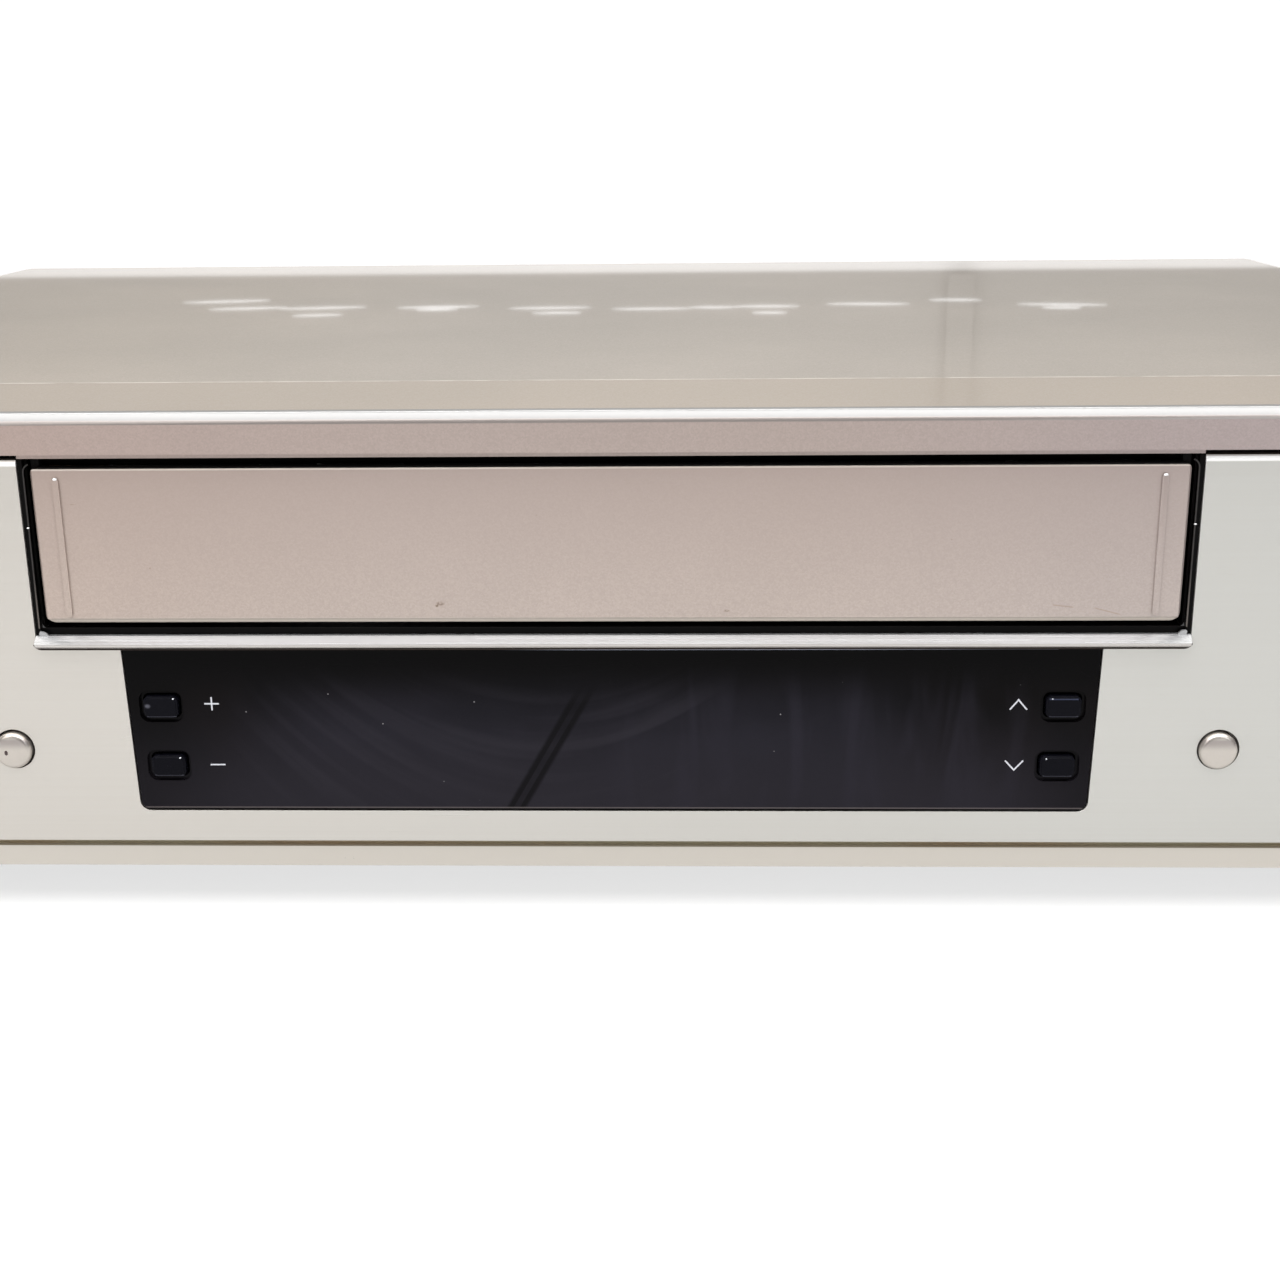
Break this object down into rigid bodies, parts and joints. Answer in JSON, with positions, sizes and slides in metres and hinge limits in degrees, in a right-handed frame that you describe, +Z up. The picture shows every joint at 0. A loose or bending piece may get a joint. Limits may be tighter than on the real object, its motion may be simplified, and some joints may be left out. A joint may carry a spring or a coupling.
{
  "type": "video cassette recorder",
  "caption": "Front-loading video cassette recorder with an inward-swinging cassette door, loading carriage, tape transport, display window and keys.",
  "frame": {"origin": "centre of the footprint, on the surface that the feet stand on", "axes": "+X to the right seen from the front, +Y from the front to the back, +Z up"},
  "size_m": [0.4336, 0.3094, 0.094],
  "materials": {
    "champagne_paint": "satin metallic champagne paint on sheet steel",
    "champagne_plastic": "moulded plastic with a satin metallic champagne coating",
    "door_plastic": "moulded plastic with a satin metallic champagne coating",
    "panel_aluminium": "brushed along its length, clear anodised, bright bevel",
    "silver_trim": "silver coated plastic",
    "silver_keys": "silver coated plastic with worn edges",
    "black_frame": "matt black moulding",
    "window_black": "smoked acrylic, polished",
    "key_black": "glossy black",
    "zinc_steel": "zinc plated sheet steel",
    "rear_black": "black painted sheet steel",
    "screw_steel": "nickel plated",
    "foot_plastic": "moulded grey plastic",
    "pad_rubber": "soft black rubber",
    "spring_steel": "bright spring wire",
    "cast_mech": "die cast and machined",
    "drum_alloy": "diamond turned",
    "white_plastic": "acetal",
    "black_plastic": "acetal",
    "belt_rubber": "black rubber",
    "copper_stator": "copper windings on a steel plate",
    "head_metal": "polished mu-metal",
    "ferrite_head": "dark ferrite and resin",
    "motor_steel": "plated can",
    "brass_gear": "machined brass",
    "circuit_board": "solder resist over glass laminate",
    "display_glass": "sealed glass display tube",
    "supply_parts": "laminate board with wound and canned components",
    "tin_can": "tinned screening can",
    "jack_black": "black moulded jack block",
    "jack_gold": "plated threaded sleeve"
  },
  "bodies": {
    "case": {"base_chassis": "zinc_steel", "top_cover": "champagne_paint", "cover_screws": "screw_steel", "rear_panel": "rear_black", "front_fascia": "champagne_plastic", "front_panel": "panel_aluminium", "door_frame": "black_frame", "door_lip": "silver_trim", "display_window": "window_black", "feet": "foot_plastic", "foot_pads": "pad_rubber", "door_spring": "spring_steel", "display_module": "display_glass", "front_board": "circuit_board", "carriage_frame": "zinc_steel", "mech_chassis": "cast_mech", "drive_belt": "belt_rubber", "lower_drum": "drum_alloy", "capstan_stator": "copper_stator", "audio_head": "head_metal", "erase_head": "ferrite_head", "loading_motor": "motor_steel", "main_board": "circuit_board", "power_supply": "supply_parts", "tuner_box": "tin_can", "av_jacks": "jack_black", "antenna_jacks": "jack_gold", "power_inlet": "jack_black"},
    "door": {"cassette_door": "door_plastic"},
    "power_key": {"power_button": "silver_keys"},
    "eject_key": {"eject_button": "silver_keys"},
    "record_speed_key": {"record_speed_button": "silver_keys"},
    "timer_key": {"timer_button": "silver_keys"},
    "time_plus_key": {"time_plus_button": "key_black"},
    "time_minus_key": {"time_minus_button": "key_black"},
    "channel_up_key": {"channel_up_button": "key_black"},
    "channel_down_key": {"channel_down_button": "key_black"},
    "play_key": {"play_button": "silver_keys"},
    "stop_key": {"stop_button": "silver_keys"},
    "rewind_key": {"rewind_button": "silver_keys"},
    "fast_forward_key": {"fast_forward_button": "silver_keys"},
    "carriage": {"carriage_slider": "white_plastic"},
    "holder": {"cassette_holder": "zinc_steel"},
    "carriage_drive": {"carriage_gear": "white_plastic"},
    "supply_disc": {"supply_reel": "black_plastic"},
    "takeup_disc": {"takeup_reel": "black_plastic"},
    "pulley": {"centre_pulley": "white_plastic"},
    "idler": {"idler_arm": "zinc_steel"},
    "idler_roll": {"idler_wheel": "black_plastic"},
    "drum": {"upper_drum": "drum_alloy"},
    "flywheel": {"capstan": "screw_steel"},
    "pinch": {"pinch_arm": "zinc_steel"},
    "pinch_roll": {"pinch_roller": "pad_rubber"},
    "tension": {"tension_arm": "zinc_steel"},
    "guide_supply": {"supply_guide": "cast_mech"},
    "guide_takeup": {"takeup_guide": "cast_mech"},
    "roll_supply": {"supply_guide_roller": "drum_alloy"},
    "roll_takeup": {"takeup_guide_roller": "drum_alloy"},
    "mode": {"mode_gear": "white_plastic"},
    "motor_shaft": {"motor_pinion": "brass_gear"}
  },
  "joints": [
    {"name": "door_swing", "type": "hinge", "parent": "case", "child": "door", "pos_m": [0.0057, -0.14755, 0.088], "axis": [1, 0, 0], "range_deg": [0, 90], "stiffness_Nm_per_rad": 0.012, "springref_deg": -22.92},
    {"name": "power_key_press", "type": "slide", "parent": "case", "child": "power_key", "axis": [0, 1, 0], "range_m": [0, 0.001], "stiffness_N_per_m": 400, "springref_m": -0.0004},
    {"name": "eject_key_press", "type": "slide", "parent": "case", "child": "eject_key", "axis": [0, 1, 0], "range_m": [0, 0.001], "stiffness_N_per_m": 400, "springref_m": -0.0004},
    {"name": "record_speed_key_press", "type": "slide", "parent": "case", "child": "record_speed_key", "axis": [0, 1, 0], "range_m": [0, 0.001], "stiffness_N_per_m": 250, "springref_m": -0.0004},
    {"name": "timer_key_press", "type": "slide", "parent": "case", "child": "timer_key", "axis": [0, 1, 0], "range_m": [0, 0.001], "stiffness_N_per_m": 250, "springref_m": -0.0004},
    {"name": "time_plus_key_press", "type": "slide", "parent": "case", "child": "time_plus_key", "axis": [0, 1, 0], "range_m": [0, 0.001], "stiffness_N_per_m": 250, "springref_m": -0.0004},
    {"name": "time_minus_key_press", "type": "slide", "parent": "case", "child": "time_minus_key", "axis": [0, 1, 0], "range_m": [0, 0.001], "stiffness_N_per_m": 250, "springref_m": -0.0004},
    {"name": "channel_up_key_press", "type": "slide", "parent": "case", "child": "channel_up_key", "axis": [0, 1, 0], "range_m": [0, 0.001], "stiffness_N_per_m": 250, "springref_m": -0.0004},
    {"name": "channel_down_key_press", "type": "slide", "parent": "case", "child": "channel_down_key", "axis": [0, 1, 0], "range_m": [0, 0.001], "stiffness_N_per_m": 250, "springref_m": -0.0004},
    {"name": "play_key_press", "type": "slide", "parent": "case", "child": "play_key", "axis": [0, 1, 0], "range_m": [0, 0.001], "stiffness_N_per_m": 400, "springref_m": -0.0004},
    {"name": "stop_key_press", "type": "slide", "parent": "case", "child": "stop_key", "axis": [0, 1, 0], "range_m": [0, 0.001], "stiffness_N_per_m": 400, "springref_m": -0.0004},
    {"name": "rewind_key_press", "type": "slide", "parent": "case", "child": "rewind_key", "axis": [0, 1, 0], "range_m": [0, 0.001], "stiffness_N_per_m": 400, "springref_m": -0.0004},
    {"name": "fast_forward_key_press", "type": "slide", "parent": "case", "child": "fast_forward_key", "axis": [0, 1, 0], "range_m": [0, 0.001], "stiffness_N_per_m": 400, "springref_m": -0.0004},
    {"name": "carriage_load", "type": "slide", "parent": "case", "child": "carriage", "axis": [0, 1, 0], "range_m": [0, 0.058]},
    {"name": "holder_lower", "type": "slide", "parent": "carriage", "child": "holder", "axis": [0, 0, -1], "range_m": [0, 0.0205]},
    {"name": "carriage_gear_turn", "type": "hinge", "parent": "case", "child": "carriage_drive", "pos_m": [0.1037, -0.05455, 0.0392], "axis": [1, 0, 0], "range_deg": [-535, 5]},
    {"name": "supply_reel_turn", "type": "hinge", "parent": "case", "child": "supply_disc", "pos_m": [-0.0403, -0.07255, 0.036], "axis": [0, 0, 1], "continuous": true},
    {"name": "takeup_reel_turn", "type": "hinge", "parent": "case", "child": "takeup_disc", "pos_m": [0.0517, -0.07255, 0.036], "axis": [0, 0, 1], "continuous": true},
    {"name": "capstan_turn", "type": "hinge", "parent": "case", "child": "flywheel", "pos_m": [0.0677, 0.00145, 0.036], "axis": [0, 0, 1], "continuous": true},
    {"name": "pulley_turn", "type": "hinge", "parent": "case", "child": "pulley", "pos_m": [0.0057, -0.04455, 0.034], "axis": [0, 0, 1], "continuous": true},
    {"name": "idler_swing", "type": "hinge", "parent": "case", "child": "idler", "pos_m": [0.0057, -0.04455, 0.033], "axis": [0, 0, 1], "range_deg": [-35, 35]},
    {"name": "idler_wheel_turn", "type": "hinge", "parent": "idler", "child": "idler_roll", "pos_m": [0.0057, -0.07255, 0.035], "axis": [0, 0, 1], "continuous": true},
    {"name": "drum_turn", "type": "hinge", "parent": "case", "child": "drum", "pos_m": [0.0057, 0.04345, 0.0358], "axis": [0, -0.0958, 0.9954], "continuous": true},
    {"name": "pinch_swing", "type": "hinge", "parent": "case", "child": "pinch", "pos_m": [0.0877, 0.01945, 0.036], "axis": [0, 0, 1], "range_deg": [-24, 0]},
    {"name": "pinch_roller_turn", "type": "hinge", "parent": "pinch", "child": "pinch_roll", "pos_m": [0.08425, -0.002, 0.048], "axis": [0, 0, 1], "continuous": true},
    {"name": "tension_swing", "type": "hinge", "parent": "case", "child": "tension", "pos_m": [-0.0803, 0.00745, 0.036], "axis": [0, 0, 1], "range_deg": [-10, 10], "stiffness_Nm_per_rad": 0.02},
    {"name": "mode_gear_turn", "type": "hinge", "parent": "case", "child": "mode", "pos_m": [-0.0563, 0.05245, 0.024], "axis": [0, 0, 1], "range_deg": [0, 300]},
    {"name": "motor_turn", "type": "hinge", "parent": "case", "child": "motor_shaft", "pos_m": [-0.07539, 0.07154, 0.03], "axis": [0, 0, 1], "range_deg": [-1055, 5]},
    {"name": "supply_guide_load", "type": "slide", "parent": "case", "child": "guide_supply", "axis": [-0.2396, 0.9709, 0], "range_m": [0, 0.0793]},
    {"name": "takeup_guide_load", "type": "slide", "parent": "case", "child": "guide_takeup", "axis": [0.2396, 0.9709, 0], "range_m": [0, 0.0793]},
    {"name": "supply_roller_turn", "type": "hinge", "parent": "guide_supply", "child": "roll_supply", "pos_m": [-0.0203, -0.02455, 0.045], "axis": [0, 0, 1], "continuous": true},
    {"name": "takeup_roller_turn", "type": "hinge", "parent": "guide_takeup", "child": "roll_takeup", "pos_m": [0.0317, -0.02455, 0.045], "axis": [0, 0, 1], "continuous": true}
  ],
  "couplings": [
    {"joint": "carriage_gear_turn", "follows": "carriage_load", "rad_per_m": -158.73},
    {"joint": "pulley_turn", "follows": "capstan_turn", "ratio": 0.66667},
    {"joint": "idler_wheel_turn", "follows": "capstan_turn", "ratio": -1.18},
    {"joint": "motor_turn", "follows": "mode_gear_turn", "ratio": -3.5},
    {"joint": "supply_guide_load", "follows": "mode_gear_turn", "m_per_rad": 0.0151},
    {"joint": "takeup_guide_load", "follows": "mode_gear_turn", "m_per_rad": 0.0151}
  ]
}
